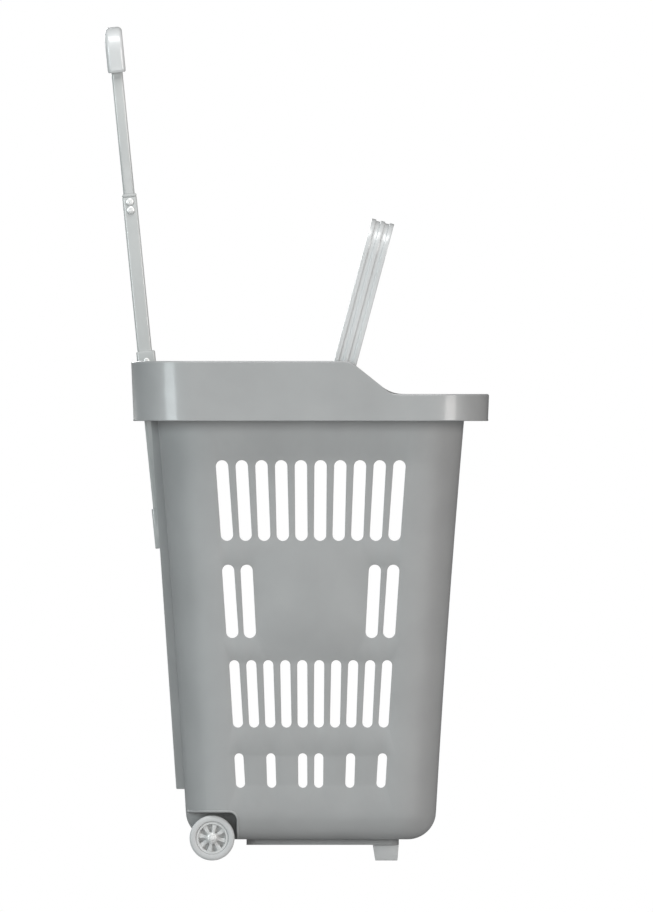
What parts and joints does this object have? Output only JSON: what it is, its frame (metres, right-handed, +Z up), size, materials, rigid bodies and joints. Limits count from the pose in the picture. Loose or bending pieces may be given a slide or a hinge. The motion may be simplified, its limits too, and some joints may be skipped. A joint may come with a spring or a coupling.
{
  "type": "rolling basket trolley",
  "caption": "Tapered slotted shopping tub with a deep stepped rim, rear wheels and front feet, a telescopic pull handle and a folding carry handle",
  "frame": {"origin": "On the ground plane, under the middle of the overall length and width", "axes": "+X towards the low front of the rim, +Y to the trolley's left, +Z up"},
  "size_m": [0.4632, 0.3778, 1.0007],
  "materials": {
    "tub_plastic": "fine-textured grey moulding",
    "rim_plastic": "fine-textured lighter grey moulding",
    "tube_plastic": "satin light grey",
    "grip_plastic": "smooth light grey",
    "handle_plastic": "smooth light grey",
    "dark_plastic": "dark grey low-friction plastic",
    "wheel_plastic": "satin light grey",
    "tyre_rubber": "grey non-marking tread",
    "foot_plastic": "grey hard-wearing plastic",
    "fastener_steel": "zinc plated"
  },
  "bodies": {
    "basket": {"basket_body": "tub_plastic", "rim_band": "rim_plastic", "rail_left": "tub_plastic", "rail_right": "tub_plastic", "collar_left": "tube_plastic", "collar_right": "tube_plastic", "collar_screws": "fastener_steel", "pivot_bush_left": "dark_plastic", "pivot_bush_right": "dark_plastic", "axle": "fastener_steel", "axle_retainers": "fastener_steel", "base_plate": "tub_plastic", "base_screws": "fastener_steel", "front_foot_left": "foot_plastic", "front_foot_right": "foot_plastic"},
    "outer_tubes": {"outer_tube_left": "tube_plastic", "outer_tube_right": "tube_plastic", "tube_shoe_left": "tube_plastic", "tube_shoe_right": "tube_plastic", "tube_bush_left": "tube_plastic", "tube_bush_right": "tube_plastic", "tube_rivets": "fastener_steel"},
    "pull_handle": {"inner_tube_left": "tube_plastic", "inner_tube_right": "tube_plastic", "pull_grip": "grip_plastic", "grip_screws": "fastener_steel"},
    "carry": {"carry_handle": "handle_plastic", "pivot_pin_left": "fastener_steel", "pivot_pin_right": "fastener_steel"},
    "wheel_left": {"wheel_hub_left": "wheel_plastic", "tyre_left": "tyre_rubber"},
    "wheel_right": {"wheel_hub_right": "wheel_plastic", "tyre_right": "tyre_rubber"}
  },
  "joints": [
    {"name": "outer_tube_slide", "type": "slide", "parent": "basket", "child": "outer_tubes", "axis": [-0.0993, 0, 0.9951], "range_m": [-0.164, 0]},
    {"name": "pull_handle_slide", "type": "slide", "parent": "outer_tubes", "child": "pull_handle", "axis": [-0.0993, 0, 0.9951], "range_m": [-0.143, 0]},
    {"name": "carry_handle_fold", "type": "hinge", "parent": "basket", "child": "carry", "pos_m": [0.0512, 0, 0.571], "axis": [0, 1, 0], "range_deg": [-105, 0]},
    {"name": "wheel_left_roll", "type": "hinge", "parent": "basket", "child": "wheel_left", "pos_m": [-0.1016, 0.115, 0.027], "axis": [0, 1, 0], "continuous": true},
    {"name": "wheel_right_roll", "type": "hinge", "parent": "basket", "child": "wheel_right", "pos_m": [-0.1016, -0.115, 0.027], "axis": [0, 1, 0], "continuous": true}
  ]
}
